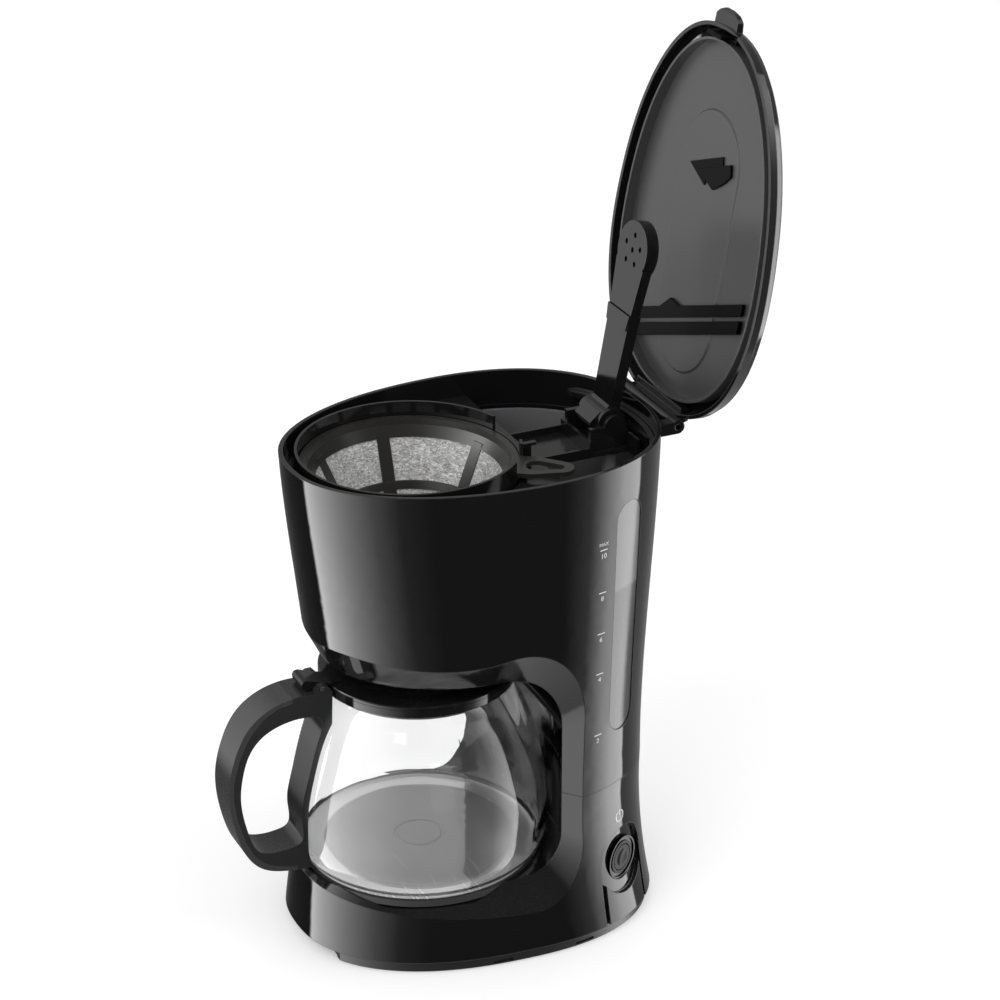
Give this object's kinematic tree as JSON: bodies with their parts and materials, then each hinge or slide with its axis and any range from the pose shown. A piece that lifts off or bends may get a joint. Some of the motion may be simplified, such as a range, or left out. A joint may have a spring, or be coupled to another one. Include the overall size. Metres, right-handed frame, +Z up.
{
  "type": "drip coffee maker",
  "caption": "Upright drip brewer: glass jug on a hot plate, hinged oval lid, swinging spout arm, lift-out basket with drip valve, permanent filter and water gauge.",
  "frame": {"origin": "under the middle of the whole object, with its lid open, on the plane its feet stand on", "axes": "+Z up, +Y towards the back and the lid hinge, +X towards the side with the water gauge and the switch"},
  "size_m": [0.1702, 0.3141, 0.515],
  "materials": {
    "black_gloss": "moulded, high gloss",
    "black_satin": "moulded, satin",
    "window_clear": "clear moulding",
    "tank_plastic": "smooth inside",
    "tube_plastic": "smooth",
    "bezel_metal": "polished trim",
    "steel_pin": "ground",
    "screw_steel": "zinc plated",
    "soft_rubber": "matt",
    "boiler_metal": "extruded",
    "element_steel": "heat tinted",
    "plate_metal": "non-stick coat",
    "clamp_steel": "pressed",
    "hose_rubber": "silicone",
    "lead_sleeve": "woven sleeve",
    "frame_plastic": "satin",
    "mesh_steel": "fine woven mesh",
    "jug_glass": "clear"
  },
  "bodies": {
    "machine": {"upper_housing": "black_gloss", "gauge_window": "window_clear", "gauge_gasket": "soft_rubber", "water_tank": "tank_plastic", "riser_tube": "tube_plastic", "top_deck": "black_satin", "spout_tower": "black_satin", "arm_pin": "steel_pin", "rear_rim": "black_satin", "hinge_pin": "steel_pin", "base_shell": "black_gloss", "bottom_plate": "black_satin", "rubber_feet": "soft_rubber", "base_screws": "screw_steel", "housing_screws": "screw_steel", "boiler_tube": "boiler_metal", "heating_element": "element_steel", "hot_plate": "plate_metal", "plate_seal": "soft_rubber", "heater_clamps": "clamp_steel", "clamp_screws": "screw_steel", "thermostat": "clamp_steel", "thermal_fuses": "clamp_steel", "check_valve": "tube_plastic", "inlet_hose": "hose_rubber", "outlet_hose": "hose_rubber", "hose_clips": "screw_steel", "switch_bezel": "bezel_metal", "switch_body": "black_satin", "wiring": "lead_sleeve"},
    "lid": {"lid_shell": "black_gloss", "lid_panel": "black_satin", "lid_braces": "black_gloss", "lid_latch": "black_satin"},
    "arm": {"spout_arm": "black_satin", "shower_head": "black_satin"},
    "basket": {"filter_basket": "black_satin"},
    "valve": {"drip_valve": "black_satin", "valve_seal": "soft_rubber"},
    "filter": {"filter_frame": "frame_plastic", "filter_mesh": "mesh_steel"},
    "carafe": {"carafe_glass": "jug_glass", "carafe_band": "black_gloss", "carafe_handle": "black_satin", "handle_cover": "black_gloss", "band_screw": "screw_steel", "jug_lid": "black_satin", "jug_lid_pin": "steel_pin", "lid_lever": "black_satin"},
    "button": {"power_button": "black_satin"}
  },
  "joints": [
    {"name": "lid_hinge", "type": "hinge", "parent": "machine", "child": "lid", "pos_m": [0, 0.10637, 0.2908], "axis": [-1, 0, 0], "range_deg": [-99.3, 0]},
    {"name": "arm_pivot", "type": "hinge", "parent": "machine", "child": "arm", "pos_m": [0, 0.07597, 0.29], "axis": [-1, 0, 0], "range_deg": [-99.3, 0]},
    {"name": "basket_lift", "type": "slide", "parent": "machine", "child": "basket", "axis": [0, 0, 1], "range_m": [0, 0.13]},
    {"name": "valve_drop", "type": "slide", "parent": "basket", "child": "valve", "axis": [0, 0, -1], "range_m": [0, 0.004]},
    {"name": "filter_lift", "type": "slide", "parent": "basket", "child": "filter", "axis": [0, 0, 1], "range_m": [0, 0.1]},
    {"name": "carafe_slide", "type": "slide", "parent": "machine", "child": "carafe", "axis": [0, -1, 0], "range_m": [0, 0.16]},
    {"name": "button_press", "type": "slide", "parent": "machine", "child": "button", "axis": [-0.866, -0.5, 0], "range_m": [0, 0.0025], "stiffness_N_per_m": 600}
  ],
  "couplings": [
    {"joint": "arm_pivot", "follows": "lid_hinge", "ratio": 1},
    {"joint": "valve_drop", "follows": "carafe_slide", "ratio": 0.025}
  ]
}
